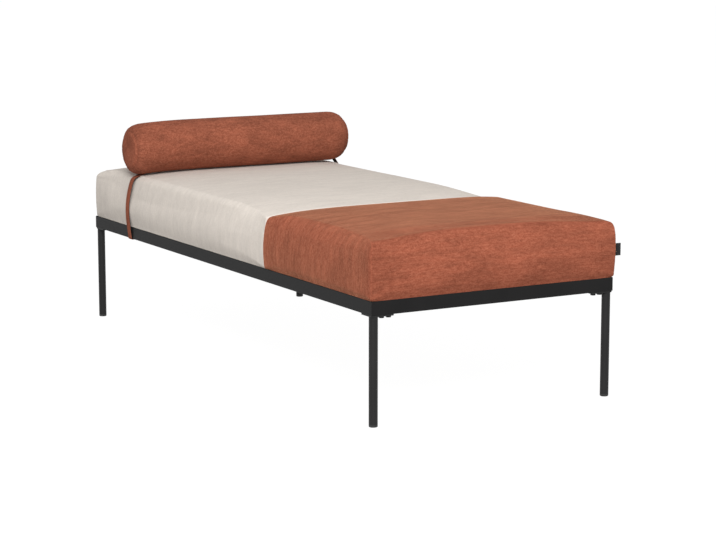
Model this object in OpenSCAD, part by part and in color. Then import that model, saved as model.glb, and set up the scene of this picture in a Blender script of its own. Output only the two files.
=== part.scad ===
// Chaise longue: two upholstered seat cushions on a low steel frame with four
// round legs, and a bolster held by a strap that runs under the seat.
// X runs along the length with the head end at -X, Y across the width, Z up.
// The origin is on the floor under the middle of the frame.

/* [Frame] */
// Length of the frame over its end rails
frame_l = 1900; // [1600:10:2200]
// Width of the frame over its side rails
frame_w = 800; // [650:10:1000]
// Height of the top of the rails above the floor
rail_top = 350; // [290:5:450]
// Height of the rail tube
rail_h = 40; // [35:1:60]
// Width of the rail tube
rail_w = 25; // [24:1:40]
// Wall of the rail tube
rail_wall = 1.5; // [1:0.1:2.5]
// Rounding of the rail tube's long edges
rail_r = 2; // [1:0.5:4]

/* [Cross bars] */
// Width of the bars that carry a base board
bar_w = 30; // [25:1:60]
// Width of the bar under the seam
seam_bar_w = 80; // [76:1:120]
// Height of every bar
bar_h = 20; // [15:1:28]
// Wall of every bar
bar_wall = 1.5; // [1:0.1:2.5]
// Distance of the head bar from the head end
head_bar_at = 400; // [200:10:550]
// Distance of the middle bar from the head end
middle_bar_at = 830; // [650:10:1000]
// Distance of the foot bar from the foot end
foot_bar_at = 300; // [150:10:400]

/* [Legs] */
// Outer diameter of a leg
leg_d = 25; // [20:1:32]
// Wall of a leg
leg_wall = 1.5; // [1:0.1:2.5]
// Distance of a leg's axis from the two outer faces of the frame
leg_inset = 13.5; // [11:0.5:18]
// Thickness of a leg's plate
plate_t = 4; // [3:0.5:8]
// Reach of the plate along the side rail
plate_side = 60; // [45:1:90]
// Reach of the plate along the end rail
plate_end = 72; // [70:1:100]
// Distance of the plate's edge from the outer faces of the frame
plate_margin = 1; // [0.5:0.5:3]
// Width of the web across the plate's inner corner
plate_web = 14; // [5:1:20]
// Rounding of the plate's corners
plate_r = 4; // [1:1:6]
// Play of a bolt in the plate's hole
plate_play = 1.2; // [0.4:0.2:2]
// Thickness of the glide under a leg
glide_h = 7; // [5:1:15]
// Length of the glide's plug inside the leg
plug_l = 22; // [15:1:40]

/* [Leg bolts] */
// Distance of the first bolt from the frame's corner
bolt_first = 38; // [36:1:42]
// Distance between the two bolts of a leg
bolt_pitch = 22; // [18:1:25]
// Diameter of a bolt's shank
bolt_d = 7.8; // [5.8:0.2:8]
// Length of a bolt's shank
bolt_l = 16; // [12:1:20]
// Width of a bolt's head across its flats
bolt_head = 13; // [10:1:14]
// Thickness of a bolt's head
bolt_head_h = 5.3; // [4:0.1:6]
// Length of the threaded insert in the rail
insert_l = 14; // [10:1:20]
// Wall of the threaded insert
insert_wall = 1.5; // [1:0.1:2]
// Reach of the insert's crimped collar round its body
insert_crimp = 1.75; // [1:0.25:2.5]

/* [Seat cushions] */
// Length of the head cushion, from the frame's head end to the seam
head_l = 1275; // [1150:5:1400]
// Height of a cushion's long edges above the rails
cushion_h = 165; // [130:5:200]
// Rise of the seat's middle above its long edges
crown = 12.5; // [2:0.5:30]
// Flatness of the crown across the seat, where 2 is a parabola
crown_power = 3.6; // [2:0.1:5]
// Drop of the long edges at the seam
seam_dip = 16; // [0:1:20]
// Drop of the seat's middle at the seam
seam_sink = 9; // [0:0.5:12]
// Drop of the corners at the free ends
end_dip = 7; // [0:1:15]
// Drop of the seat's middle at the free ends
end_sink = 8; // [0:0.5:12]
// Outward swell of the long sides
side_bulge = 9.5; // [4:0.5:16]
// Outward swell of the head end
head_bulge = 4; // [0:0.5:16]
// Outward swell of the foot end
foot_bulge = 12; // [0:0.5:16]
// Rounding of the top edges
top_round = 20; // [10:1:24]
// How much further in the top's rounding begins at the free ends
end_soft = 14; // [0:1:20]
// Rounding of the bottom edges
bottom_round = 5; // [4:1:12]
// Rounding of the upright corners at the free ends
corner_r = 16; // [6:1:20]
// Rounding of the upright edges at the seam
seam_r = 2.5; // [1.8:0.1:5]
// Thickness of the cover fabric
cover_t = 1.5; // [1:0.1:2.5]
// Width of the cover's hem under the base board, from the frame's face
hem_in = 23; // [20:0.5:23]
// Thickness of a base board
board_t = 15; // [12:1:22]
// Distance of the base board and the foam from the frame's face
core_in = 18; // [17:0.5:30]
// Least thickness of the fibre wrap over the foam
wrap_t = 3; // [2:0.5:20]
// Rounding of the board's and the foam's upright corners
core_r = 8; // [5:1:15]

/* [Base board screws] */
// Diameter of a screw's shank
screw_d = 5; // [4:0.5:6]
// Diameter of a screw's head
screw_head = 10; // [9:0.5:12]
// Thickness of a screw's head
screw_head_h = 3; // [2:0.5:4]
// Depth of a screw in its board
screw_bite = 11; // [8:1:11]
// Distance of a screw from the middle of the seat
screw_y = 250; // [100:10:280]
// Distance of a screw from the seam
seam_screw = 29; // [28:1:32]

/* [Bolster] */
// Diameter of the bolster over its cover
bolster_d = 172; // [140:2:220]
// Length of the bolster over its domed ends
bolster_l = 826; // [700:2:1000]
// Distance of the bolster's axis from the head end
bolster_at = 295; // [200:5:600]
// Depth of each domed end
dome_l = 62; // [45:1:80]
// Fullness of the domed ends, where 2 is an ellipse
dome_power = 2.3; // [2:0.1:3]
// Distance of the end seams from the bolster's ends
seam_in = 31; // [25:1:40]

/* [Strap] */
// Width of the strap
strap_w = 25; // [10:1:30]
// Thickness of the strap's fabric face
strap_t = 1.5; // [1:0.1:2.5]
// Thickness of the strap's elastic backing
backing_t = 1; // [0.8:0.1:1.5]
// Reach of the fabric face under the rail
face_in = 24; // [10:1:40]
// Reach of the backing under the rail
backing_in = 40; // [40:1:80]

/* [Side tab] */
// Height of the tab in the cover's corner seam
tab_h = 40; // [20:1:60]
// Reach of the tab beyond the cover
tab_l = 24; // [8:1:30]
// Thickness of the folded tab
tab_t = 2; // [1:0.5:3]
// Distance of the tab from the foot end
tab_at = 12; // [10:1:40]

/* [Clearances] */
// Gap between a piece that slides and what it slides over
slide_gap = 0.5; // [0.4:0.1:1]
// Gap between the layers of a cushion
layer_gap = 0.2; // [0.1:0.1:0.5]
// Gap round a bolt, a screw or a plug
fit_gap = 0.1; // [0.05:0.05:0.2]

/* [Hidden] */

frame_color = [0.12, 0.12, 0.125];
plastic_color = [0.07, 0.07, 0.07];
zinc_color = [0.62, 0.63, 0.65];
plywood_color = [0.78, 0.63, 0.44];
foam_color = [0.93, 0.89, 0.72];
wadding_color = [0.95, 0.95, 0.94];
beige_color = [0.80, 0.76, 0.72];
terracotta_color = [0.62, 0.36, 0.27];
bolt_color = [0.08, 0.08, 0.085];
elastic_color = [0.06, 0.06, 0.06];

NEAR = -1;
FAR = 1;
HEAD = -1;
FOOT = 1;

rail_bottom = rail_top - rail_h;
plate_bottom = rail_bottom - plate_t;
hem_top = rail_top + cover_t;
board_bottom = hem_top + layer_gap;
board_top = board_bottom + board_t;
seat_edge = rail_top + cushion_h;
seat_top = seat_edge + crown;
foam_top = seat_edge - max(seam_dip, end_dip) - cover_t - wrap_t - 2 * layer_gap;
head_x = -frame_l / 2;
foot_x = frame_l / 2;
seam_x = head_x + head_l;
bolt_line = rail_w / 2;
insert_d = bolt_d + 2 * fit_gap + 2 * insert_wall;
insert_collar = insert_d + 2 * insert_crimp;
screw_l = bar_h + screw_bite;
// The two covers lie against each other at the seam
seam_gap = 0.15;

// Length over which the seat's top falls towards a free end and towards the seam
free_fall = 150;
head_seam_fall = 320;
foot_seam_fall = 90;

// Round shapes are true circles at this count
$fn = 64;

// Side outline of a cushion: one wide arc, with a small arc at its top and its bottom
side_mid = rail_top + cushion_h / 2;
side_half = cushion_h / 2;
side_r = (side_half * side_half + side_bulge * side_bulge) / (2 * side_bulge);
side_center = [side_bulge - side_r, side_mid];
top_angle = asin((side_half - top_round) / (side_r - top_round));
bottom_angle = asin((side_half - bottom_round) / (side_r - bottom_round));
top_center = side_center + (side_r - top_round) * [cos(top_angle), sin(top_angle)];
bottom_center = side_center + (side_r - bottom_round) * [cos(bottom_angle), -sin(bottom_angle)];

// Bolster
bolster_r = bolster_d / 2;
bolster_x = head_x + bolster_at;
bolster_z = seat_top + slide_gap + bolster_r;
bolster_straight = bolster_l / 2 - dome_l;
bolster_seam = bolster_l / 2 - seam_in;
dome_steps = 7;

// Counts of points along the seat rings
long_steps = 8;
cross_steps = 6;
corner_steps = 3;
// Places of the top's rings, as shares of the way from the frame's face to the middle
top_rings = [0.15, 0.32, 0.54, 0.78];
// Growth of a ring's corner rounding on the seat's top, for each millimetre inwards
ring_growth = 0.4;
// Most of a ring's shorter side that one corner's rounding takes
ring_most = 0.4;

// Flat outlines

module rounded_bar(w, h, r) {
    square([w - 2 * r, h], center = true);
    square([w, h - 2 * r], center = true);
    for (sx = [-1, 1], sy = [-1, 1])
        translate([sx * (w / 2 - r), sy * (h / 2 - r)]) circle(r);
}

module tube_section(w, h, wall, r) {
    difference() {
        rounded_bar(w, h, r);
        rounded_bar(w - 2 * wall, h - 2 * wall, max(r - wall, 0.4));
    }
}

module rounded_slab(xa, xb, half_w, r) {
    translate([(xa + xb) / 2, 0]) rounded_bar(xb - xa, 2 * half_w, r);
}

// Places a shape drawn at a corner, with +x and +y pointing inwards, at one frame corner
module at_corner(end, side) {
    translate([end * frame_l / 2, side * frame_w / 2, 0])
        if (end == side) rotate([0, 0, end == HEAD ? 0 : 180]) children();
        else rotate([0, 0, end == HEAD ? 0 : 180]) mirror([0, 1, 0]) children();
}

// Frame rails, mitred at the corners

module mitred(outer_half, face_half, side, along_x) {
    points = [
        [-outer_half, side * face_half],
        [outer_half, side * face_half],
        [outer_half - rail_w, side * (face_half - rail_w)],
        [-outer_half + rail_w, side * (face_half - rail_w)]
    ];
    translate([0, 0, rail_bottom - 1]) linear_extrude(rail_h + 2)
        polygon(along_x ? points : [for (p = points) [p[1], p[0]]]);
}

module side_rail(side) {
    color(frame_color) intersection() {
        translate([head_x, side * (frame_w - rail_w) / 2, rail_bottom + rail_h / 2])
            rotate([90, 0, 90]) linear_extrude(frame_l)
                tube_section(rail_w, rail_h, rail_wall, rail_r);
        mitred(frame_l / 2, frame_w / 2, side, true);
    }
}

module end_rail(end) {
    color(frame_color) difference() {
        intersection() {
            translate([end * (frame_l - rail_w) / 2, frame_w / 2, rail_bottom + rail_h / 2])
                rotate([90, 0, 0]) linear_extrude(frame_w)
                    tube_section(rail_w, rail_h, rail_wall, rail_r);
            mitred(frame_w / 2, frame_l / 2, end, false);
        }
        for (side = [NEAR, FAR]) at_corner(end, side) at_bolts()
            translate([0, 0, rail_bottom - 1])
                cylinder(d = insert_d + 2 * fit_gap, h = rail_wall + 2);
    }
}

// Cross bars welded between the side rails

module cross_bar(x, w, top) {
    color(frame_color) difference() {
        translate([x, frame_w / 2 - rail_w, top - bar_h / 2])
            rotate([90, 0, 0]) linear_extrude(frame_w - 2 * rail_w)
                tube_section(w, bar_h, bar_wall, rail_r);
        at_screws() translate([0, 0, -bar_h - 1])
            cylinder(d = screw_d + 4 * fit_gap, h = bar_h + 2);
    }
}

// Places a shape at each screw, level with the top of the bar that the screw goes through.
// The hems lie on the seam's bar, so it is lower than the bars that touch a board.
module at_screws() {
    rows = [
        [head_x + head_bar_at, board_bottom], [head_x + middle_bar_at, board_bottom],
        [seam_x - seam_screw, rail_top], [seam_x + seam_screw, rail_top],
        [foot_x - foot_bar_at, board_bottom]
    ];
    for (row = rows, side = [NEAR, FAR])
        translate([row[0], side * screw_y, row[1]]) children();
}

// Legs

module at_bolts() {
    for (y = [bolt_first, bolt_first + bolt_pitch])
        translate([bolt_line, y, 0]) children();
}

module leg(end, side) {
    color(frame_color) at_corner(end, side)
        translate([leg_inset, leg_inset, glide_h]) difference() {
            cylinder(d = leg_d, h = plate_bottom - glide_h);
            translate([0, 0, -1]) cylinder(d = leg_d - 2 * leg_wall, h = plate_bottom);
        }
}

module plate_outline() {
    arm = rail_w - plate_margin;
    inner = rail_w - plate_r;
    reach = rail_w + plate_web;
    translate([(plate_margin + plate_side) / 2, plate_margin + arm / 2])
        rounded_bar(plate_side - plate_margin, arm, plate_r);
    translate([plate_margin + arm / 2, (plate_margin + plate_end) / 2])
        rounded_bar(arm, plate_end - plate_margin, plate_r);
    polygon([[inner, inner], [reach, inner], [reach, rail_w], [rail_w, reach], [inner, reach]]);
}

module leg_plate(end, side) {
    color(frame_color) at_corner(end, side)
        translate([0, 0, plate_bottom]) difference() {
            linear_extrude(plate_t) plate_outline();
            at_bolts() translate([0, 0, -1])
                cylinder(d = bolt_d + plate_play, h = plate_t + 2);
        }
}

// Plastic foot with a ribbed plug that is pressed into the leg
module glide(end, side) {
    edge = 2.5;
    rib = 2;
    plug_r = leg_d / 2 - leg_wall - fit_gap;
    stem_r = plug_r - rib;
    color(plastic_color) at_corner(end, side) translate([leg_inset, leg_inset, 0]) {
        rotate_extrude() union() {
            square([leg_d / 2 - edge, glide_h]);
            translate([0, edge]) square([leg_d / 2, glide_h - edge]);
            translate([leg_d / 2 - edge, edge]) circle(edge);
            square([stem_r, glide_h + plug_l]);
            for (i = [0:2])
                translate([0, glide_h + plug_l - rib - i * plug_l / 3]) square([plug_r, rib]);
        }
    }
}

module leg_bolts() {
    color(bolt_color) at_each_leg() at_bolts() {
        translate([0, 0, plate_bottom - bolt_head_h])
            cylinder(d = bolt_head / cos(30), h = bolt_head_h, $fn = 6);
        translate([0, 0, plate_bottom]) cylinder(d = bolt_d, h = bolt_l);
    }
}

module threaded_inserts() {
    color(zinc_color) at_each_leg() at_bolts()
        translate([0, 0, rail_bottom]) difference() {
            union() {
                cylinder(d = insert_d, h = insert_l);
                translate([0, 0, rail_wall + fit_gap / 2])
                    cylinder(d1 = insert_collar, d2 = insert_d, h = 4);
            }
            translate([0, 0, -1]) cylinder(d = bolt_d + 2 * fit_gap, h = insert_l + 2);
        }
}

module at_each_leg() {
    for (end = [HEAD, FOOT], side = [NEAR, FAR]) at_corner(end, side) children();
}

module board_screws() {
    color(zinc_color) at_screws() translate([0, 0, -bar_h]) {
        translate([0, 0, -screw_head_h]) cylinder(d = screw_head, h = screw_head_h);
        cylinder(d = screw_d, h = screw_l);
    }
}

// Seat cushions

function blend_fall(distance, length) = pow(max(0, 1 - distance / length), 2);

// Drop at a share of the crown's height, between the drops of the edge and of the middle
function drop(edge, middle, across) = edge + (middle - edge) * across;

// Height of the seat's top over its long edges: a crown across the width, which sinks
// towards the seam and towards a free end, and most at the edges
function seat_rise(x, y, cushion) =
    let (
        fall_a = blend_fall(x - cushion[0], cushion[4]),
        fall_b = blend_fall(cushion[1] - x, cushion[5]),
        at_seam = cushion[6] == FOOT ? fall_b : fall_a,
        at_end = cushion[6] == FOOT ? fall_a : fall_b,
        across = 1 - pow(min(1, abs(y) / (frame_w / 2)), crown_power)
    )
    crown * across
        - at_seam * drop(seam_dip, seam_sink, across)
        - at_end * drop(end_dip, end_sink, across);

function arc_point(center, r, a) =
    [center[0] + r * cos(a), center[1] + r * sin(a), cos(a), sin(a)];

// Side outline as [distance outwards, height, outward and upward parts of the normal]
function side_outline(inner_half) = concat(
    [[-hem_in, rail_top, 0, -1]],
    [for (a = [-90, -56]) arc_point(bottom_center, bottom_round, a)],
    [for (i = [0:4]) arc_point(side_center, side_r,
        -bottom_angle + (bottom_angle + top_angle) * i / 4)],
    [for (i = [1:3]) arc_point(top_center, top_round, top_angle + (90 - top_angle) * i / 3)],
    [for (f = top_rings) [-f * inner_half, seat_edge, 0, 1]]
);

// Points round one corner of a ring, about the middle of its rounding
function ring_corner(x, y, r, from) =
    [for (i = [0:corner_steps]) let (a = from + 90 * i / corner_steps)
        [x + r * cos(a), y + r * sin(a)]];

// Points along one side of a ring, closer near its ends, without its corners' own two
function ring_side(from, to, steps) =
    [for (i = [1:steps - 1]) from + (to - from) * (1 - cos(180 * i / steps)) / 2];

// Closed ring of points round a rectangle whose corners have one rounding at xa and another
// at xb, the same number of points whatever its size
function ring(xa, xb, half_w, ra, rb) = concat(
    ring_corner(xb - rb, half_w - rb, rb, 0),
    ring_side([xb - rb, half_w], [xa + ra, half_w], long_steps),
    ring_corner(xa + ra, half_w - ra, ra, 90),
    ring_side([xa, half_w - ra], [xa, ra - half_w], cross_steps),
    ring_corner(xa + ra, ra - half_w, ra, 180),
    ring_side([xa + ra, -half_w], [xb - rb, -half_w], long_steps),
    ring_corner(xb - rb, rb - half_w, rb, 270),
    ring_side([xb, rb - half_w], [xb, half_w - rb], cross_steps)
);
ring_count = 4 * (corner_steps + 1) + 2 * (long_steps - 1) + 2 * (cross_steps - 1);

// An end swells by its own amount, in step with the long sides, and a free end's top edge
// is rounded further in
function end_out(p, bulge, free) =
    p[0] > 0 ? p[0] * bulge / side_bulge
        : free && p[3] > 0 ? p[0] - end_soft * min(1, p[0] / top_center[0])
        : p[0];

// One ring of a cushion, set back by a depth from its outer surface.
// A cushion is [xa, xb, bulge at xa, at xb, fall length at xa, at xb, end with the seam].
function seat_ring(cushion, p, depth) =
    let (
        back = depth * p[2],
        xa = cushion[0] - end_out(p, cushion[2], cushion[6] == FOOT) + back,
        xb = cushion[1] + end_out(p, cushion[3], cushion[6] == HEAD) - back,
        half_w = frame_w / 2 + p[0] - back,
        free_r = corner_r + ring_growth * max(0, -p[0]) * max(0, p[3]),
        most_r = ring_most * min(xb - xa, 2 * half_w),
        ra = min(most_r, cushion[6] == HEAD ? seam_r : free_r),
        rb = min(most_r, cushion[6] == FOOT ? seam_r : free_r),
        weight = max(0, (p[3] - sin(top_angle)) / (1 - sin(top_angle)))
    )
    [for (q = ring(xa, xb, half_w, ra, rb))
        [q[0], q[1], p[1] - depth * p[3] + weight * seat_rise(q[0], q[1], cushion)]];

function seat_rings(cushion, depth) =
    let (inner_half = min(frame_w, cushion[1] - cushion[0]) / 2)
    [for (p = side_outline(inner_half)) seat_ring(cushion, p, depth)];

function seat_center(cushion, z) = [(cushion[0] + cushion[1]) / 2, 0, z];

// Ring round the board and the foam, sharper than their corners so that it clears them
function block_ring(cushion, z) =
    let (in = core_in - layer_gap, r = core_r / 2)
    [for (q = ring(cushion[0] + in, cushion[1] - in, frame_w / 2 - in, r, r)) [q[0], q[1], z]];

function flat_list(rings) = [for (r = rings) each r];

function bands(first, rings, flip) =
    [for (k = [0:rings - 2], i = [0:ring_count - 1])
        let (
            j = (i + 1) % ring_count,
            a = first + k * ring_count + i,
            b = first + k * ring_count + j,
            c = a + ring_count,
            d = b + ring_count
        )
        each flip ? [[a, d, c], [a, b, d]] : [[a, c, d], [a, d, b]]];

function fan(first, center, flip) =
    [for (i = [0:ring_count - 1])
        let (a = first + i, b = first + (i + 1) % ring_count)
        flip ? [a, b, center] : [a, center, b]];

// Skin between an outer and an inner stack of rings, each closed over its top and
// joined to the other round its bottom
module skin(outer, outer_top, inner, inner_top) {
    outer_points = len(outer) * ring_count;
    inner_first = outer_points + 1;
    inner_points = len(inner) * ring_count;
    inner_end = inner_first + inner_points;
    rim = [for (i = [0:ring_count - 1])
        let (j = (i + 1) % ring_count)
        each [[i, j, inner_first + j], [i, inner_first + j, inner_first + i]]];
    polyhedron(
        points = concat(flat_list(outer), [outer_top], flat_list(inner), [inner_top]),
        faces = concat(
            bands(0, len(outer), false),
            fan(outer_points - ring_count, outer_points, false),
            bands(inner_first, len(inner), true),
            fan(inner_end - ring_count, inner_end, true),
            rim
        )
    );
}

head_cushion = [head_x, seam_x - seam_gap, head_bulge, 0, free_fall, head_seam_fall, FOOT];
foot_cushion = [seam_x + seam_gap, foot_x, 0, foot_bulge, foot_seam_fall, free_fall, HEAD];

module cover(cushion) {
    skin(
        seat_rings(cushion, 0), seat_center(cushion, seat_top),
        seat_rings(cushion, cover_t), seat_center(cushion, seat_top - cover_t)
    );
}

// Fibre wrap between the foam block and the cover, without the hem's ring
module wadding(cushion) {
    depth = cover_t + layer_gap;
    rings = seat_rings(cushion, depth);
    skin(
        [for (i = [1:len(rings) - 1]) rings[i]], seat_center(cushion, seat_top - depth),
        [block_ring(cushion, board_bottom), block_ring(cushion, foam_top + layer_gap)],
        seat_center(cushion, foam_top + layer_gap)
    );
}

module core_block(cushion, z, h) {
    translate([0, 0, z]) linear_extrude(h)
        rounded_slab(
            cushion[0] + core_in, cushion[1] - core_in,
            frame_w / 2 - core_in, core_r
        );
}

module base_board(cushion) {
    color(plywood_color) difference() {
        core_block(cushion, board_bottom, board_t);
        at_screws() translate([0, 0, -1])
            cylinder(d = screw_d + 2 * fit_gap, h = screw_bite + 2);
    }
}

module foam_block(cushion) {
    color(foam_color) core_block(cushion, board_top, foam_top - board_top);
}

// Folded tab, sewn into the upright seam at the foot end's far corner
module side_tab() {
    x = foot_x - tab_at;
    y = frame_w / 2 + side_bulge + slide_gap;
    color(elastic_color) translate([x, 0, side_mid - tab_h / 2]) linear_extrude(tab_h) {
        translate([-tab_t / 2, y]) square([tab_t, tab_l - tab_t / 2]);
        translate([0, y + tab_l - tab_t / 2]) circle(d = tab_t);
    }
}

// Bolster

// Radius of the bolster at a distance from its middle, set back by a depth
function bolster_radius(y, depth) =
    let (t = max(0, y - bolster_straight) / (dome_l - depth))
    (bolster_r - depth) * pow(max(0, 1 - pow(t, dome_power)), 1 / dome_power);

// Angle on the dome's outline at a distance from the bolster's middle
function dome_angle(y, depth) =
    asin(pow((y - bolster_straight) / (dome_l - depth), dome_power / 2));

// Points on the dome's outline as [radius, distance], from one angle to another
function dome_outline(from, to, depth) =
    [for (i = [0:dome_steps])
        let (a = from + (to - from) * i / dome_steps)
        [
            (bolster_r - depth) * pow(max(0, cos(a)), 2 / dome_power),
            bolster_straight + (dome_l - depth) * pow(sin(a), 2 / dome_power)
        ]];

function backwards(list) = [for (i = [len(list) - 1:-1:0]) list[i]];

function mirrored(list) = [for (p = list) [p[0], -p[1]]];

function sleeve_outline(depth) =
    let (dome = dome_outline(0, dome_angle(bolster_seam, depth), depth))
    concat(mirrored(backwards(dome)), dome);

function end_outline(depth) = dome_outline(dome_angle(bolster_seam, depth), 90, depth);

module on_bolster_axis() {
    translate([bolster_x, 0, bolster_z]) rotate([-90, 0, 0]) rotate_extrude() children();
}

module bolster_foam() {
    depth = cover_t + layer_gap;
    half = dome_outline(0, 90, depth);
    color(foam_color) on_bolster_axis()
        polygon(concat(mirrored(backwards(half)), half));
}

module bolster_sleeve() {
    color(terracotta_color) on_bolster_axis()
        polygon(concat(sleeve_outline(0), backwards(sleeve_outline(cover_t))));
}

module bolster_end(side) {
    outline = concat(end_outline(0), backwards(end_outline(cover_t)));
    color(terracotta_color) on_bolster_axis()
        polygon(side == FAR ? outline : mirrored(outline));
}

// Strap: it leaves the bolster's end seam, lies over the cushion's side, runs straight
// to the rail's lower edge and turns under it. The route is the strap's inner surface.

// Angle of the line that touches two circles, where the normal points at that angle
function tangent_angle(from, from_r, to, to_r, turn) =
    let (d = to - from)
    atan2(d[1], d[0]) + turn * acos((from_r - to_r) / norm(d));

strap_start = [bolster_seam - frame_w / 2, bolster_z - bolster_radius(bolster_seam, 0) - slide_gap];
rail_edge = [-rail_r, rail_bottom + rail_r];
leave_angle = tangent_angle(top_center, top_round + slide_gap, strap_start, 0, -1);
reach_angle = tangent_angle(side_center, side_r + slide_gap, rail_edge, rail_r + slide_gap, 1);

function strap_arc(center, r, from, to, steps) =
    [for (i = [0:steps]) arc_point(center, r + slide_gap, from + (to - from) * i / steps)];

// Route as [distance out from the frame's face, height, outward and upward normal]
function strap_route(reach_in) = concat(
    [[strap_start[0], strap_start[1], cos(leave_angle), sin(leave_angle)]],
    strap_arc(top_center, top_round, leave_angle, top_angle, 2),
    [for (i = [1:8]) arc_point(side_center, side_r + slide_gap,
        top_angle + (reach_angle - top_angle) * i / 8)],
    strap_arc(rail_edge, rail_r, reach_angle, -90, 5),
    [[-reach_in, rail_bottom - slide_gap, 0, -1]]
);

function strap_corners(p, side, inner, outer) =
    [for (c = [[-1, inner], [1, inner], [1, outer], [-1, outer]])
        [
            bolster_x + c[0] * strap_w / 2,
            side * (frame_w / 2 + p[0] + c[1] * p[2]),
            p[1] + c[1] * p[3]
        ]];

// Flat strip along a route, between two depths over the route
module strip(route, side, inner, outer) {
    last = (len(route) - 1) * 4;
    walls = [for (k = [0:len(route) - 2], i = [0:3])
        let (a = 4 * k + i, b = 4 * k + (i + 1) % 4)
        each [[a, b, b + 4], [a, b + 4, a + 4]]];
    faces = concat(
        walls,
        [[0, 2, 1], [0, 3, 2]],
        [[last, last + 1, last + 2], [last, last + 2, last + 3]]
    );
    polyhedron(
        points = flat_list([for (p = route) strap_corners(p, side, inner, outer)]),
        faces = side == NEAR ? faces : [for (f = faces) backwards(f)]
    );
}

module strap(side) {
    color(terracotta_color) strip(strap_route(face_in), side, backing_t, backing_t + strap_t);
}

module strap_backing(side) {
    color(elastic_color) strip(strap_route(backing_in), side, 0, backing_t);
}

module under_band() {
    length = frame_w - 2 * backing_in;
    color(elastic_color)
        translate([bolster_x - strap_w / 2, -length / 2, rail_bottom - slide_gap - backing_t])
            cube([strap_w, length, backing_t]);
}

side_rail(NEAR);  // near_side_rail
side_rail(FAR);  // far_side_rail
end_rail(HEAD);  // head_end_rail
end_rail(FOOT);  // foot_end_rail
cross_bar(head_x + head_bar_at, bar_w, board_bottom);  // head_cross_bar
cross_bar(head_x + middle_bar_at, bar_w, board_bottom);  // middle_cross_bar
cross_bar(seam_x, seam_bar_w, rail_top);  // seam_cross_bar
cross_bar(foot_x - foot_bar_at, bar_w, board_bottom);  // foot_cross_bar
leg(HEAD, NEAR);  // head_near_leg
leg(HEAD, FAR);  // head_far_leg
leg(FOOT, NEAR);  // foot_near_leg
leg(FOOT, FAR);  // foot_far_leg
leg_plate(HEAD, NEAR);  // head_near_leg_plate
leg_plate(HEAD, FAR);  // head_far_leg_plate
leg_plate(FOOT, NEAR);  // foot_near_leg_plate
leg_plate(FOOT, FAR);  // foot_far_leg_plate
glide(HEAD, NEAR);  // head_near_glide
glide(HEAD, FAR);  // head_far_glide
glide(FOOT, NEAR);  // foot_near_glide
glide(FOOT, FAR);  // foot_far_glide
leg_bolts();
threaded_inserts();
board_screws();
base_board(head_cushion);  // head_base_board
foam_block(head_cushion);  // head_foam
color(wadding_color) wadding(head_cushion);  // head_wadding
color(beige_color) cover(head_cushion);  // head_cover
base_board(foot_cushion);  // foot_base_board
foam_block(foot_cushion);  // foot_foam
color(wadding_color) wadding(foot_cushion);  // foot_wadding
color(terracotta_color) cover(foot_cushion);  // foot_cover
side_tab();
bolster_foam();
bolster_sleeve();
bolster_end(NEAR);  // bolster_near_end
bolster_end(FAR);  // bolster_far_end
strap(NEAR);  // near_strap
strap(FAR);  // far_strap
strap_backing(NEAR);  // near_strap_backing
strap_backing(FAR);  // far_strap_backing
under_band();
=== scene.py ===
# Chaise longue: cloth, finishes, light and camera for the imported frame, in metres.
# X runs along the length with the head end at -X, Y across the width, Z up.
import math

import bmesh
import bpy
import numpy as np
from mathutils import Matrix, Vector


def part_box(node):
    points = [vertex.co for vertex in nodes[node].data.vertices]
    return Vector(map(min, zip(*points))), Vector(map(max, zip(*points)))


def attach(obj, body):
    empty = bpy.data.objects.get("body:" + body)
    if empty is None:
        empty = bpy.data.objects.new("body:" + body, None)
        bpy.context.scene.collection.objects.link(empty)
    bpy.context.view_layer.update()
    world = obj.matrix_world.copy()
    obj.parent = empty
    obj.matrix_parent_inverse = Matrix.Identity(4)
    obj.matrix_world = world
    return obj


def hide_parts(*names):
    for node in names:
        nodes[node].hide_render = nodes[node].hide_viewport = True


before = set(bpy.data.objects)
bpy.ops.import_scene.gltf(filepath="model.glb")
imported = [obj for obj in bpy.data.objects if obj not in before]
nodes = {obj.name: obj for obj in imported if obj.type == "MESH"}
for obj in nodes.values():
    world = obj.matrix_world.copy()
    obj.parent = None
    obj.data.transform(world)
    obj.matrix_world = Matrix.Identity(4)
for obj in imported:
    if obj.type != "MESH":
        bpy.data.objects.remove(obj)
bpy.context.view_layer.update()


# Camera

def make_camera():
    """Looks from beyond the foot end, a little above the seat, as the photograph does."""
    data = bpy.data.cameras.new("camera")
    data.sensor_width = 36
    data.lens = 108.95
    data.clip_end = 60
    camera = bpy.data.objects.new("camera", data)
    bpy.context.scene.collection.objects.link(camera)
    camera.location = (5.920, -3.268, 1.398)
    forward = Vector((-0.8573, 0.4875, -0.1652))
    camera.rotation_euler = forward.to_track_quat("-Z", "Y").to_euler()
    bpy.context.scene.camera = camera


# Floor, world and lamps

FLOOR_PAINT = (0.5, 0.5, 0.5, 1)
FLOOR_GLOW = 1.14
GLOW_SHARE = 0.86
ROOM_LIGHT = 0.42
SEEN_WHITE = 1.0


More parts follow.
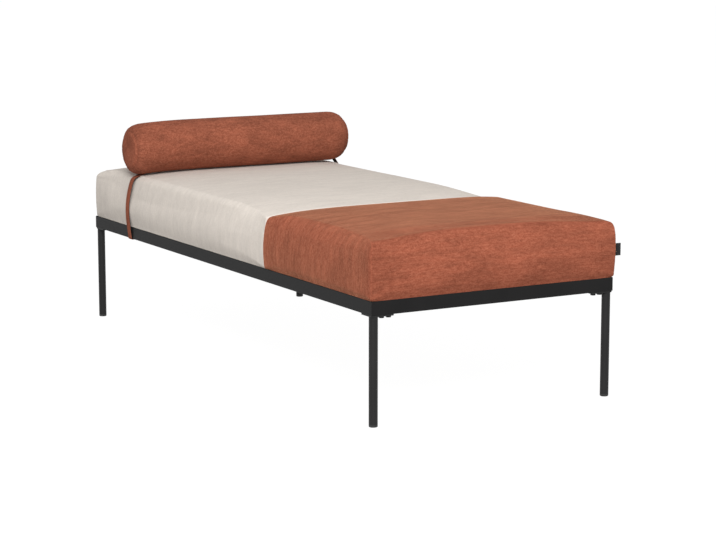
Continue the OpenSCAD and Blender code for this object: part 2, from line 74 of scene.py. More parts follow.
def make_floor():
    """A pale floor that the camera sees as white, with the chaise's soft shadow on it."""
    bpy.ops.mesh.primitive_plane_add(size=60, location=(0, 0, 0))
    floor = bpy.context.object
    floor.name = "floor"
    finish = bpy.data.materials.new("pale floor")
    finish.use_nodes = True
    finish.node_tree.nodes.clear()
    paint = add_node(finish, "ShaderNodeBsdfDiffuse", {"Color": FLOOR_PAINT})
    glow = add_node(finish, "ShaderNodeEmission", {"Color": (1, 1, 1, 1), "Strength": FLOOR_GLOW})
    path = add_node(finish, "ShaderNodeLightPath")
    seen = add_node(finish, "ShaderNodeMath", {0: path.outputs["Is Camera Ray"],
                    1: path.outputs["Is Glossy Ray"]}, operation="MAXIMUM")
    share = add_node(finish, "ShaderNodeMath", {0: seen.outputs[0], 1: GLOW_SHARE},
                     operation="MULTIPLY")
    mixed = add_node(finish, "ShaderNodeMixShader", {0: share.outputs[0],
                     1: paint.outputs[0], 2: glow.outputs[0]})
    add_node(finish, "ShaderNodeOutputMaterial", {"Surface": mixed.outputs[0]})
    floor.data.materials.append(finish)


def make_world():
    """White where the camera sees it, and an even soft light to the rest."""
    world = bpy.data.worlds.new("studio")
    bpy.context.scene.world = world
    world.use_nodes = True
    world.node_tree.nodes.clear()
    path = add_node(world, "ShaderNodeLightPath")
    seen = add_node(world, "ShaderNodeMath", {0: path.outputs["Is Camera Ray"],
                    1: path.outputs["Is Transmission Ray"]}, operation="MAXIMUM")
    level = add_node(world, "ShaderNodeMapRange", {"Value": seen.outputs[0],
                     "To Min": ROOM_LIGHT, "To Max": SEEN_WHITE})
    sky = add_node(world, "ShaderNodeBackground", {"Color": (1, 1, 1, 1),
                   "Strength": level.outputs["Result"]})
    add_node(world, "ShaderNodeOutputWorld", {"Surface": sky.outputs[0]})


def add_softbox(name, place, aim, size, power):
    """A round soft lamp that faces a point."""
    lamp = bpy.data.lights.new(name, "AREA")
    lamp.shape = "DISK"
    lamp.size = size
    lamp.energy = power
    holder = bpy.data.objects.new(name, lamp)
    bpy.context.scene.collection.objects.link(holder)
    holder.location = place
    holder.rotation_euler = (Vector(aim) - Vector(place)).to_track_quat("-Z", "Y").to_euler()


# Modelling helpers

def only(piece):
    """Selects one piece and makes it the active one."""
    bpy.ops.object.select_all(action="DESELECT")
    piece.select_set(True)
    bpy.context.view_layer.objects.active = piece


def apply_modifier(piece, kind, **settings):
    modifier = piece.modifiers.new(kind.title(), kind)
    for key, value in settings.items():
        setattr(modifier, key, value)
    only(piece)
    bpy.ops.object.modifier_apply(modifier=modifier.name)


def points_of(piece):
    flat = np.empty(len(piece.data.vertices) * 3)
    piece.data.vertices.foreach_get("co", flat)
    return flat.reshape(-1, 3)


def set_points(piece, points):
    piece.data.vertices.foreach_set("co", points.astype(np.float32).ravel())
    piece.data.update()


def normals_of(piece):
    flat = np.empty(len(piece.data.vertices) * 3)
    piece.data.vertices.foreach_get("normal", flat)
    return flat.reshape(-1, 3)


def smooth(piece, degrees=40):
    only(piece)
    bpy.ops.object.shade_smooth_by_angle(angle=math.radians(degrees))


def smoothstep(value):
    value = np.clip(value, 0, 1)
    return value * value * (3 - 2 * value)


def waves(points, lengths, seed):
    """A slow uneven swell from -1 to 1, as a sum of sines that never repeats."""
    chance = np.random.default_rng(seed)
    total = np.zeros(len(points))
    for length in lengths:
        for _ in range(4):
            direction = chance.normal(size=3)
            direction /= np.linalg.norm(direction)
            total += np.sin(points @ direction * 2 * math.pi / (length * chance.uniform(0.7, 1.4))
                            + chance.uniform(0, 2 * math.pi))
    return total / (4 * len(lengths))


# Finishes

def add_node(finish, kind, inputs=None, **settings):
    made = finish.node_tree.nodes.new(kind)
    for key, value in settings.items():
        setattr(made, key, value)
    for key, value in (inputs or {}).items():
        if isinstance(value, bpy.types.NodeSocket):
            finish.node_tree.links.new(value, made.inputs[key])
        else:
            made.inputs[key].default_value = value
    return made


def start_finish(name, **sockets):
    """A new material and its shader, with plain values on the shader's own sockets."""
    finish = bpy.data.materials.new(name)
    finish.use_nodes = True
    shader = finish.node_tree.nodes["Principled BSDF"]
    for key, value in sockets.items():
        shader.inputs[key.replace("_", " ")].default_value = value
    return finish, shader


def connect(finish, source, target):
    finish.node_tree.links.new(source, target)


def object_place(finish):
    """A point's own coordinates, which its piece carries along when it moves."""
    return add_node(finish, "ShaderNodeTexCoord").outputs["Object"]


def add_bump(finish, shader, height, strength, depth):
    bump = add_node(finish, "ShaderNodeBump", {"Strength": strength, "Distance": depth,
                    "Height": height})
    connect(finish, bump.outputs[0], shader.inputs["Normal"])


def color_ramp(finish, value, stops):
    ramp = add_node(finish, "ShaderNodeValToRGB", {0: value})
    while len(ramp.color_ramp.elements) < len(stops):
        ramp.color_ramp.elements.new(0.5)
    for element, (place, color) in zip(ramp.color_ramp.elements, stops):
        element.position = place
        element.color = (*color, 1)
    return ramp.outputs["Color"]


def grey_ramp(finish, value, stops):
    """A ramp of greys, each stop being its place and its level."""
    return color_ramp(finish, value, [(place, (level,) * 3) for place, level in stops])


def multiply(finish, color, tint):
    made = add_node(finish, "ShaderNodeMix", {0: 1.0, 6: color, 7: tint},
                    data_type="RGBA", blend_type="MULTIPLY")
    return made.outputs[2]


def stretched_noise(finish, surface, scale, detail, roughness):
    """Noise whose grain is 1 / scale metres along each direction of the cloth."""
    spread = add_node(finish, "ShaderNodeMapping", {"Vector": surface, "Scale": scale})
    grain = add_node(finish, "ShaderNodeTexNoise", {"Vector": spread.outputs[0], "Scale": 1.0,
                     "Detail": detail, "Roughness": roughness})
    return grain.outputs[0]


def band_wave(finish, place, direction, distortion, detail):
    """Fine parallel threads or ribs, from 0 between them to 1 on them."""
    wave = add_node(finish, "ShaderNodeTexWave", {"Vector": place, "Scale": 0.5,
                    "Distortion": distortion, "Detail": detail},
                    wave_type="BANDS", bands_direction=direction)
    return wave.outputs["Fac"]


def multiply_values(finish, a, b):
    return add_node(finish, "ShaderNodeMath", {0: a, 1: b}, operation="MULTIPLY").outputs[0]


def blend_values(finish, share, a, b):
    return add_node(finish, "ShaderNodeMix", {0: share, 2: a, 3: b}, data_type="FLOAT").outputs[0]


# Cells per metre along X and Y of the laid-out cloth
YARNS = (420, 190, 1)
SLUBS = (170, 60, 1)
WEAVE = (620, 410, 1)
KNIT = (700, 260, 1)
# Mottle of the cloth: its cells per metre, its share of the swing and its detail
MOTTLE = (((8, 4.5, 1), 0.8, 2.0), ((34, 7, 1), 1.2, 3.0), ((110, 18, 1), 0.9, 2.0))
# Painted light and shade along the foot end's upper edge, in part the nap's own tone: a painted
# darker line behind its upper edge, and a painted lighter band past it. The band runs between two
# distances from that edge, in metres along the cloth.
EDGE_LIGHT_FROM = -0.16
EDGE_LIGHT_TO = 0.11
PAINTED_EDGE_LIGHT = [(0.0, 1.04), (0.35, 1.0), (0.52, 0.97), (0.68, 1.09), (0.82, 1.0), (1.0, 0.97)]


def woven_cloth(name, tones, swing, sheen_tint, sheen, depth, grain=None, painted_edge_at=None):
    """Chenille: slubbed yarns that run across the seat, a fine weave and a soft nap; given an edge,
    painted light and shade run along it.
    """
    finish, shader = start_finish(
        name, Roughness=0.95, Sheen_Weight=sheen, Sheen_Roughness=0.27, Specular_IOR_Level=0.1)
    surface = add_node(finish, "ShaderNodeUVMap", uv_map="cloth").outputs[0]
    if grain:
        surface = add_node(finish, "ShaderNodeMapping", {"Vector": surface,
                           "Scale": (*grain, 1)}).outputs[0]
    yarn = stretched_noise(finish, surface, YARNS, 2.0, 0.6)
    slub = stretched_noise(finish, surface, SLUBS, 2.0, 0.6)
    pile = blend_values(finish, 0.45, yarn, slub)
    color = color_ramp(finish, pile, list(zip((0.36, 0.5, 0.64), tones)))
    nap = color_ramp(finish, pile, [(0.36, [0.7 * c for c in sheen_tint]), (0.64, sheen_tint)])
    shades = []
    for scale, share, detail in MOTTLE:
        mottle = stretched_noise(finish, surface, scale, detail, 0.5)
        shades.append(grey_ramp(finish, mottle, [(0.3, 1 - swing * share), (0.7, 1 + swing * share)]))
    # Painted light and shade across the foot end's upper edge, in part the nap's own tone: darker
    # behind it, lighter past it
    if painted_edge_at:
        length = add_node(finish, "ShaderNodeSeparateXYZ", {0: surface}).outputs["X"]
        past_edge = add_node(finish, "ShaderNodeMapRange", {"Value": length,
                             "From Min": painted_edge_at + EDGE_LIGHT_FROM,
                             "From Max": painted_edge_at + EDGE_LIGHT_TO}).outputs[0]
        shades.append(grey_ramp(finish, past_edge, PAINTED_EDGE_LIGHT))
    for shade in shades:
        color = multiply(finish, color, shade)
        nap = multiply(finish, nap, shade)
    connect(finish, nap, shader.inputs["Sheen Tint"])
    threads = add_node(finish, "ShaderNodeMapping", {"Vector": surface, "Scale": WEAVE})
    weft = band_wave(finish, threads.outputs[0], "X", 0.6, 1.0)
    warp = band_wave(finish, threads.outputs[0], "Y", 0.6, 1.0)
    weave = multiply_values(finish, weft, warp)
    color = multiply(finish, color, grey_ramp(finish, weave, [(0.0, 0.88), (0.35, 1.02)]))
    connect(finish, color, shader.inputs["Base Color"])
    add_bump(finish, shader, blend_values(finish, 0.5, weave, pile), 0.5, depth)
    return finish


def powder_coat(name, gloss):
    """Black polyester powder coat with its fine orange-peel texture."""
    finish, shader = start_finish(name, Specular_IOR_Level=gloss)
    place = object_place(finish)
    grain = add_node(finish, "ShaderNodeTexNoise", {"Vector": place, "Scale": 1400.0, "Detail": 2.0})
    cloud = add_node(finish, "ShaderNodeTexNoise", {"Vector": place, "Scale": 9.0, "Detail": 3.0})
    tone = color_ramp(finish, cloud.outputs[0],
                      [(0.3, (0.0105, 0.0102, 0.0104)), (0.7, (0.0140, 0.0136, 0.0138))])
    connect(finish, tone, shader.inputs["Base Color"])
    matt = add_node(finish, "ShaderNodeMapRange", {"Value": cloud.outputs[0],
                    "To Min": 0.45, "To Max": 0.55})
    connect(finish, matt.outputs[0], shader.inputs["Roughness"])
    add_bump(finish, shader, grain.outputs[0], 0.25, 0.0002)
    return finish


def plain_metal(name, low, high, roughness, metallic):
    """Metal with faint turning marks and a slightly uneven surface."""
    finish, shader = start_finish(name, Metallic=metallic)
    place = object_place(finish)
    marks = add_node(finish, "ShaderNodeTexNoise", {"Vector": place, "Scale": 260.0, "Detail": 3.0})
    tone = color_ramp(finish, marks.outputs[0], [(0.3, low), (0.7, high)])
    connect(finish, tone, shader.inputs["Base Color"])
    matt = add_node(finish, "ShaderNodeMapRange", {"Value": marks.outputs[0],
                    "To Min": roughness - 0.07, "To Max": roughness + 0.07})
    connect(finish, matt.outputs[0], shader.inputs["Roughness"])
    add_bump(finish, shader, marks.outputs[0], 0.15, 0.0002)
    return finish


def moulded_plastic():
    """Black plastic with the fine spark grain of its mould."""
    finish, shader = start_finish("black moulded plastic", Roughness=0.55)
    place = object_place(finish)
    grain = add_node(finish, "ShaderNodeTexVoronoi", {"Vector": place, "Scale": 900.0})
    tone = grey_ramp(finish, grain.outputs["Distance"], [(0.0, 0.013), (1.0, 0.021)])
    connect(finish, tone, shader.inputs["Base Color"])
    add_bump(finish, shader, grain.outputs["Distance"], 0.3, 0.0002)
    return finish


PLY_THICKNESS = 0.0028


def plywood():
    """Birch plywood: long grain on its faces, and plies that show as bands on its edges."""
    finish, shader = start_finish("birch plywood", Roughness=0.6)
    place = object_place(finish)
    long_grain = add_node(finish, "ShaderNodeMapping", {"Vector": place, "Scale": (3, 70, 1)})
    grain = add_node(finish, "ShaderNodeTexNoise", {"Vector": long_grain.outputs[0], "Scale": 1.0,
                     "Detail": 5.0, "Distortion": 0.6})
    face = color_ramp(finish, grain.outputs[0], [
        (0.3, (0.42, 0.26, 0.13)), (0.55, (0.56, 0.38, 0.21)), (0.75, (0.63, 0.46, 0.28))])
    height = add_node(finish, "ShaderNodeSeparateXYZ", {0: place}).outputs["Z"]
    plies = multiply_values(finish, height, 1 / PLY_THICKNESS)
    band = add_node(finish, "ShaderNodeMath", {0: plies}, operation="FRACT")
    ply = color_ramp(finish, band.outputs[0],
                     [(0.0, (0.72, 0.72, 0.72)), (0.45, (1.0, 1.0, 1.0)), (0.5, (0.78, 0.74, 0.7))])
    connect(finish, multiply(finish, face, ply), shader.inputs["Base Color"])
    add_bump(finish, shader, grain.outputs[0], 0.2, 0.0004)
    return finish


def elastic_webbing():
    """Black knitted elastic with ribs along its length."""
    finish, shader = start_finish("black elastic", Roughness=0.85, Sheen_Weight=0.05,
                                  Sheen_Roughness=0.5)
    surface = add_node(finish, "ShaderNodeUVMap", uv_map="cloth").outputs[0]
    rows = add_node(finish, "ShaderNodeMapping", {"Vector": surface, "Scale": KNIT})
    ribs = band_wave(finish, rows.outputs[0], "X", 0.5, 2.0)
    knit = band_wave(finish, rows.outputs[0], "Y", 0.8, 2.0)
    both = multiply_values(finish, ribs, knit)
    tone = color_ramp(finish, both, [(0.0, (0.006, 0.006, 0.0065)), (1.0, (0.020, 0.020, 0.021))])
    connect(finish, tone, shader.inputs["Base Color"])
    add_bump(finish, shader, both, 0.5, 0.0006)
    return finish


# Seat pads. Their side outline is one wide arc, with a small arc above and below it.

RAIL_TOP = 0.350
PAD_HEIGHT = 0.165
FRAME_HALF = -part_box("near_side_rail")[0].y
HEAD_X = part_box("head_end_rail")[0].x
FOOT_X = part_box("foot_end_rail")[1].x
SEAM_X = HEAD_X + 1.275
SEAM_GAP = 0.00015
SEAM_R = 0.0025
CORNER_REACH = 0.14
SEAM_REACH = 0.07
CROWN = 0.0125
CROWN_POWER = 3.6
SEAM_DIP = 0.016
SEAM_SINK = 0.012
FAR_LIFT = 0.004
FAR_LIFT_FROM_Z = 0.07
FAR_LIFT_FROM_Y = 0.12
FAR_LIFT_SPAN_Y = 0.24
FAR_LIFT_FADE = 0.2
ROLL_AT = 0.085
ROLL_WIDTH = 0.022
ROLL_DEPTH = 0.0024
ROLL_FADE = 0.08
SOFT_END_REACH = 0.08
SOFT_END_PASSES = 14
PLAIN_CORNER_R = 0.012
SHARP_CORNER_R = 0.008
CORNER_GROWTH = 0.4
HEM = 0.023
CLOTH_T = 0.0014
SLACK = 0.0014
SLACK_LEFT = 0.6
START_INSET = 0.0016
INSET_FADE = 0.08
UPRIGHT_SINK = 0.0005
PRESSURE = 4.0
FRAMES = 20
PAD_CAP = 0.006
CORNER_CELLS = 4
BOLSTER_X = HEAD_X + 0.295
CARRIED_REACH = 0.05
SLIDE_GAP = 0.0005


def side_form(swell, waist, side_r, top_r, foot_r):
    """A side outline: how far it swells, at which height over the rail, and its three arcs."""
    center = np.array([swell - side_r, RAIL_TOP + waist])
    top_angle = math.asin((PAD_HEIGHT - top_r - waist) / (side_r - top_r))
    foot_angle = math.asin((waist - foot_r) / (side_r - foot_r))
    top_way = np.array([math.cos(top_angle), math.sin(top_angle)])
    foot_way = np.array([math.cos(foot_angle), -math.sin(foot_angle)])
    return {"center": center, "r": side_r, "top_r": top_r, "foot_r": foot_r,
            "top_angle": top_angle, "foot_angle": foot_angle,
            "top_center": center + (side_r - top_r) * top_way,
            "foot_center": center + (side_r - foot_r) * foot_way}


# The sides lean inwards between the corners, stand upright at them, and are sharp at the seam
PLAIN_SIDE = side_form(0.0082, 0.050, 0.293, 0.024, 0.007)
SEAM_SIDE = side_form(0.0082, 0.058, 0.420, 0.008, 0.006)


def side_outline(form, way):
    """Distance outwards, height, upward part of the normal and length at a share of the way up."""
    foot_way = form["foot_r"] * (math.pi / 2 - form["foot_angle"])
    side_way = form["r"] * (form["foot_angle"] + form["top_angle"])
    top_way = form["top_r"] * (math.pi / 2 - form["top_angle"])
    s = np.asarray(way) * (foot_way + side_way + top_way)
    on_foot = s < foot_way
    on_top = s > foot_way + side_way
    angle = np.where(on_foot, -math.pi / 2 + s / form["foot_r"],
                     np.where(on_top, form["top_angle"] + (s - foot_way - side_way) / form["top_r"],
                              -form["foot_angle"] + (s - foot_way) / form["r"]))
    radius = np.where(on_foot, form["foot_r"], np.where(on_top, form["top_r"], form["r"]))
    center = np.where(on_foot[:, None], form["foot_center"],
                      np.where(on_top[:, None], form["top_center"], form["center"]))
    return (center[:, 0] + radius * np.cos(angle), center[:, 1] + radius * np.sin(angle),
            np.sin(angle), s)


def seat_rise(x, y, pad):
    """Height of the seat over its long edges: a crown that sinks at the seam and the end."""
    fall_a = np.clip(1 - (x - pad["xa"]) / pad["fall_a"], 0, 1) ** 2
    fall_b = np.clip(1 - (pad["xb"] - x) / pad["fall_b"], 0, 1) ** 2
    at_seam, at_end = (fall_b, fall_a) if pad["joint"] == "b" else (fall_a, fall_b)
    across = 1 - np.clip(np.abs(y) / FRAME_HALF, 0, 1) ** CROWN_POWER
    return (CROWN * across - at_seam * (SEAM_DIP + (SEAM_SINK - SEAM_DIP) * across)
            - at_end * (pad["end_dip"] + (pad["end_sink"] - pad["end_dip"]) * across))


def far_lift(y, z):
    """The seat's far edge stands a little higher than the near one, and the strap goes over it."""
    up = np.clip((z - RAIL_TOP - FAR_LIFT_FROM_Z) / (PAD_HEIGHT - FAR_LIFT_FROM_Z), 0, 1) ** 2
    return FAR_LIFT * smoothstep((y - FAR_LIFT_FROM_Y) / FAR_LIFT_SPAN_Y) * up


def grid_box(name, counts):
    """A unit box cut into equal cells, counted along each axis."""
    bpy.ops.object.select_all(action="DESELECT")
    bpy.ops.mesh.primitive_cube_add(size=1, location=(0.5, 0.5, 0.5))
    box = bpy.context.object
    box.name = name
    bpy.ops.object.transform_apply(location=True, rotation=True, scale=True)
    for axis, count in enumerate(counts):
        bpy.ops.object.mode_set(mode="EDIT")
        bpy.ops.mesh.select_mode(type="EDGE")
        bpy.ops.mesh.select_all(action="DESELECT")
        mesh = bmesh.from_edit_mesh(box.data)
        for edge in mesh.edges:
            edge.select = abs((edge.verts[0].co - edge.verts[1].co)[axis]) > 1e-4
        bmesh.update_edit_mesh(box.data)
        bpy.ops.mesh.subdivide(number_cuts=count - 1)
        bpy.ops.object.mode_set(mode="OBJECT")
    return box


def ring_point(i, j, counts, low, high, half_y, r_low, r_high):
    """Plan position on a rounded rectangle, with the same number of cells in each corner."""
    nx, ny = counts
    m = CORNER_CELLS
    quarter = math.pi / 4
    at_low = i <= nx / 2
    r = np.where(at_low, r_low, r_high)
    to_end = np.minimum(i, nx - i)
    to_side = np.minimum(j, ny - j)
    on_side = to_side == 0
    angle = np.where(on_side, quarter * (1 + np.clip(to_end / m, 0, 1)),
                     quarter * (1 - np.clip(to_side / m, 0, 1)))
    end_x = np.where(at_low, low + r - r * np.cos(angle), high - r + r * np.cos(angle))
    run = low + r_low + (high - r_high - low - r_low) * (i - m) / (nx - 2 * m)
    x = np.where(on_side & (to_end > m), run, end_x)
    span = half_y - r
    side_y = np.where(j <= ny / 2, -1, 1) * (half_y - r + r * np.sin(angle))
    middle = -span + 2 * span * (j - m) / (ny - 2 * m)
    y = np.where(~on_side & (to_side > m), middle, side_y)
    return x, y


def pad_plan(i, j, counts, ring):
    """Plan position anywhere on a face, filled in between the four sides of its ring."""
    nx, ny = counts
    zero = np.zeros_like(i)
    corner = lambda a, b: np.stack(ring_point(zero + a, zero + b, counts, *ring))
    side_x = ring_point(i, zero, counts, *ring)[0]
    end_y = ring_point(zero, j, counts, *ring)[1]
    first_x, last_x = corner(0, 0)[0], corner(nx, 0)[0]
    first_y, last_y = corner(0, 0)[1], corner(0, ny)[1]
    s = (side_x - first_x) / (last_x - first_x)
    t = (end_y - first_y) / (last_y - first_y)
    left = np.stack(ring_point(zero, j, counts, *ring))
    right = np.stack(ring_point(zero + nx, j, counts, *ring))
    near = np.stack(ring_point(i, zero, counts, *ring))
    far = np.stack(ring_point(i, zero + ny, counts, *ring))
    flat = ((1 - s) * left + s * right + (1 - t) * near + t * far
            - (1 - s) * (1 - t) * corner(0, 0) - s * (1 - t) * corner(nx, 0)
            - (1 - s) * t * corner(0, ny) - s * t * corner(nx, ny))
    return flat[0], flat[1]


def lay_out(place, counts, pad, form, corner_r, softness):
    """Places a grid box's points on a pad whose sides have one outline all round."""
    nx, ny, nz = counts
    i, j, k = place.T
    out, height, lift, way = side_outline(form, k / nz)
    inward = np.where(lift > 0, np.clip(-out, 0, None), 0)
    waist = form["center"][1]
    soft = softness * np.clip((height - waist) / (RAIL_TOP + PAD_HEIGHT - waist), 0, 1) ** 2
    ends = []
    for end in ("a", "b"):
        free = pad["joint"] != end
        reach = np.where(out > 0, out * pad["swell_" + end], out) - soft * free
        radius = corner_r + CORNER_GROWTH * inward if free else np.full(len(out), SEAM_R)
        ends.append((reach, radius))
    (reach_a, r_a), (reach_b, r_b) = ends
    ring = (pad["xa"] - reach_a, pad["xb"] + reach_b, FRAME_HALF + out, r_a, r_b)
    x, y = pad_plan(i, j, (nx, ny), ring)
    z = height + np.where(k == nz, 1, (k / nz) ** 2) * seat_rise(x, y, pad)
    return np.stack([x, y, z], axis=1), way


def from_joint(points, pad):
    """Distance from the face where the two pads meet."""
    return pad["xb"] - points[:, 0] if pad["joint"] == "b" else points[:, 0] - pad["xa"]


def from_free_end(points, pad):
    return points[:, 0] - pad["xa"] if pad["joint"] == "b" else pad["xb"] - points[:, 0]


def corner_share(points, pad):
    """How much of the corner's own outline a point takes, from 0 to 1."""
    to_corner = np.hypot(from_free_end(points, pad), np.abs(points[:, 1]) - FRAME_HALF)
    return np.exp(-(to_corner / CORNER_REACH) ** 2)


def shape_pad(box, counts, pad):
    """Moves a grid box's points onto the pad. Returns their places in the grid and up the side."""
    place = np.rint(points_of(box) * np.array(counts)).astype(int)
    plain, way = lay_out(place, counts, pad, PLAIN_SIDE, PLAIN_CORNER_R, pad["end_soft"])
    corner, _ = lay_out(place, counts, pad, pad["corner"], SHARP_CORNER_R, 0)
    seam, _ = lay_out(place, counts, pad, SEAM_SIDE, SHARP_CORNER_R, 0)
    to_seam = from_joint(plain, pad)
    to_end = from_free_end(plain, pad)
    near_corner = corner_share(plain, pad)[:, None]
    near_seam = np.exp(-(to_seam / SEAM_REACH) ** 2)[:, None]
    points = plain + near_corner * (corner - plain) + near_seam * (seam - plain)
    hollow = np.exp(-((to_end - ROLL_AT) / ROLL_WIDTH) ** 2) * (place[:, 2] == counts[2])
    uneven = 1 + 0.6 * waves(points, [0.35], pad["seed"] + 1)
    inside = smoothstep((FRAME_HALF - np.abs(points[:, 1])) / ROLL_FADE)
    points[:, 2] -= ROLL_DEPTH * hollow * uneven * inside
    points[:, 2] += far_lift(points[:, 1], points[:, 2]) * smoothstep(to_end / FAR_LIFT_FADE)
    set_points(box, points)
    return place, way


def soften_end(piece, place, counts, pad):
    """Rounds the upper edge of a pad's free end, but not at its corners."""
    points = points_of(piece)
    at_end = smoothstep(1.6 - from_free_end(points, pad) / SOFT_END_REACH)
    upper = smoothstep(2 * place[:, 2] / counts[2] - 0.9)
    weight = at_end * upper * (1 - corner_share(points, pad))
    group = piece.vertex_groups.new(name="soft end")
    for index in np.flatnonzero(weight > 0.01):
        group.add([int(index)], float(weight[index]), "REPLACE")
    apply_modifier(piece, "SMOOTH", factor=0.6, iterations=SOFT_END_PASSES,
                   vertex_group="soft end")
    piece.vertex_groups.clear()


def unfold_pad(piece, place, counts, way):
    """Lays the cloth out flat, with the sides folded down from the top as they are cut."""
    points = points_of(piece)
    nx, ny, _ = counts
    layer = piece.data.uv_layers.new(name="cloth")
    full = way.max()
    uv = np.empty((len(piece.data.loops), 2))
    for face in piece.data.polygons:
        corners = list(face.vertices)
        cells = place[corners]
        for loop, corner in zip(face.loop_indices, corners):
            x, y, _ = points[corner]
            drop = full - way[corner]
            if (cells[:, 1] == 0).all():
                uv[loop] = (x, -FRAME_HALF - drop)
            elif (cells[:, 1] == ny).all():
                uv[loop] = (x, FRAME_HALF + drop)
            elif (cells[:, 0] == 0).all():
                uv[loop] = (HEAD_X - drop, y)
            elif (cells[:, 0] == nx).all():
                uv[loop] = (FOOT_X + drop, y)
            else:
                uv[loop] = (x, y)
    layer.data.foreach_set("uv", uv.astype(np.float32).ravel())


def settle_cloth(piece, pinned, envelope, outward, cap):
    """Blows the cloth up against its pinned seams. Returns points that stay in the envelope.

    No point moves by more than the cap.
    """
    rest = points_of(piece)
    group = piece.vertex_groups.new(name="seams")
    group.add(np.flatnonzero(pinned).tolist(), 1.0, "REPLACE")
    cloth = piece.modifiers.new("Cloth", "CLOTH")
    cloth.settings.vertex_group_mass = "seams"
    cloth.settings.quality = 5
    cloth.settings.mass = 0.25
    cloth.settings.tension_stiffness = 12
    cloth.settings.compression_stiffness = 12
    cloth.settings.shear_stiffness = 5
    cloth.settings.bending_stiffness = 0.4
    cloth.settings.use_pressure = True
    cloth.settings.uniform_pressure_force = PRESSURE
    cloth.settings.effector_weights.gravity = 0
    cloth.point_cache.frame_start = 1
    cloth.point_cache.frame_end = FRAMES
    scene = bpy.context.scene
    for number in range(1, FRAMES + 1):
        scene.frame_set(number)
    seen = piece.evaluated_get(bpy.context.evaluated_depsgraph_get())
    flat = np.empty(len(rest) * 3)
    seen.data.vertices.foreach_get("co", flat)
    moved = flat.reshape(-1, 3) - rest
    reach = np.linalg.norm(moved, axis=1, keepdims=True)
    moved *= np.minimum(1, cap / np.maximum(reach, 1e-9))
    piece.modifiers.remove(cloth)
    piece.vertex_groups.clear()
    scene.frame_set(1)
    set_points(piece, rest + moved)
    blown = points_of(piece)
    over = np.einsum("ij,ij->i", blown - envelope, outward)
    return blown - outward * np.clip(over, 0, None)[:, None]


def make_pad(name, pad, counts, finish, slot, *stands_for):
    """An upholstered pad: a box of cloth, blown up between its seams, with a hem under it."""
    piece = grid_box(name, counts)
    place, way = shape_pad(piece, counts, pad)
    soften_end(piece, place, counts, pad)
    envelope = points_of(piece)
    outward = normals_of(piece)
    i, j, k = place.T
    nx, ny, nz = counts
    to_corner = np.maximum(np.minimum(i, nx - i), np.minimum(j, ny - j))
    on_side = (k > 0) & (k < nz)
    upright = on_side & (to_corner == 0)
    joint_face = (i == nx) if pad["joint"] == "b" else (i == 0)
    swell = waves(envelope, [0.45, 0.22], pad["seed"])
    carried = np.exp(-((envelope[:, 0] - BOLSTER_X) / CARRIED_REACH) ** 4) * (k == nz)
    slack = SLACK * (1 + swell) * (1 - carried)
    points = envelope - outward * slack[:, None]
    to_joint = np.abs(from_joint(envelope, pad))
    inset = START_INSET * smoothstep(to_joint / INSET_FADE)
    set_points(piece, envelope - outward * inset[:, None])
    hold = (k == 0) | upright | joint_face
    blown = settle_cloth(piece, hold, envelope, outward, PAD_CAP)
    points = blown - outward * (SLACK_LEFT * slack)[:, None]
    points += (envelope - points) * carried[:, None]
    keep = (k == 0) | joint_face
    points[keep] = envelope[keep]
    points[upright] -= outward[upright] * UPRIGHT_SINK
    set_points(piece, points)
    unfold_pad(piece, place, counts, way)
    only(piece)
    bpy.ops.object.mode_set(mode="EDIT")
    bpy.ops.mesh.select_mode(type="FACE")
    bpy.ops.mesh.select_all(action="DESELECT")
    mesh = bmesh.from_edit_mesh(piece.data)
    for face in mesh.faces:
        middle = face.calc_center_median()
        inner = (pad["xa"] + HEM < middle.x < pad["xb"] - HEM and abs(middle.y) < FRAME_HALF - HEM)
        face.select = inner and middle.z < RAIL_TOP + 0.001
    bmesh.update_edit_mesh(piece.data)
    bpy.ops.mesh.delete(type="FACE")
    bpy.ops.object.mode_set(mode="OBJECT")
    apply_modifier(piece, "SOLIDIFY", thickness=CLOTH_T, offset=-1)
    smooth(piece, 60)
    piece.data.materials.append(finish)
    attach(piece, "seat")
    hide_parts(*stands_for)


# Bolster: a roll of foam in a sleeve that tapers into two domed ends. The near end droops.

BOLSTER_R = 0.0851
SOLID_R = 0.086
BOLSTER_Z = RAIL_TOP + PAD_HEIGHT + CROWN + SLIDE_GAP + SOLID_R
DROOP_FROM = 0.174
NEAR_END = {"from": 0.350, "seam": 0.3975, "taper": 0.0190, "shoulder": math.radians(86),
            "tip": 0.4070, "fullness": 2.0, "droop": 0.010}
FAR_END = {"from": 0.345, "seam": 0.3930, "taper": 0.0180, "shoulder": math.radians(70),
           "tip": 0.4095, "fullness": 2.0, "droop": -0.001}
ROUND_CELLS = 256
DOME_ROWS = 22
TAPER_ROWS = 14
HALF_ROWS = 48
ALL_ROWS = 2 * (DOME_ROWS + TAPER_ROWS + HALF_ROWS)
BOLSTER_SLACK = 0.0010
BOLSTER_INSET = 0.001
BOLSTER_CAP = 0.004
SLEEVE_PLEATS = (0.026, 0.0011)
END_PLEATS = (0.014, 0.0006)
PLEATS_START = 0.004
GROOVE_WIDTH = 0.0022
GROOVE_DEPTH = 0.0034
END_STEP_WIDTH = 0.010
END_STEP = 0.0018


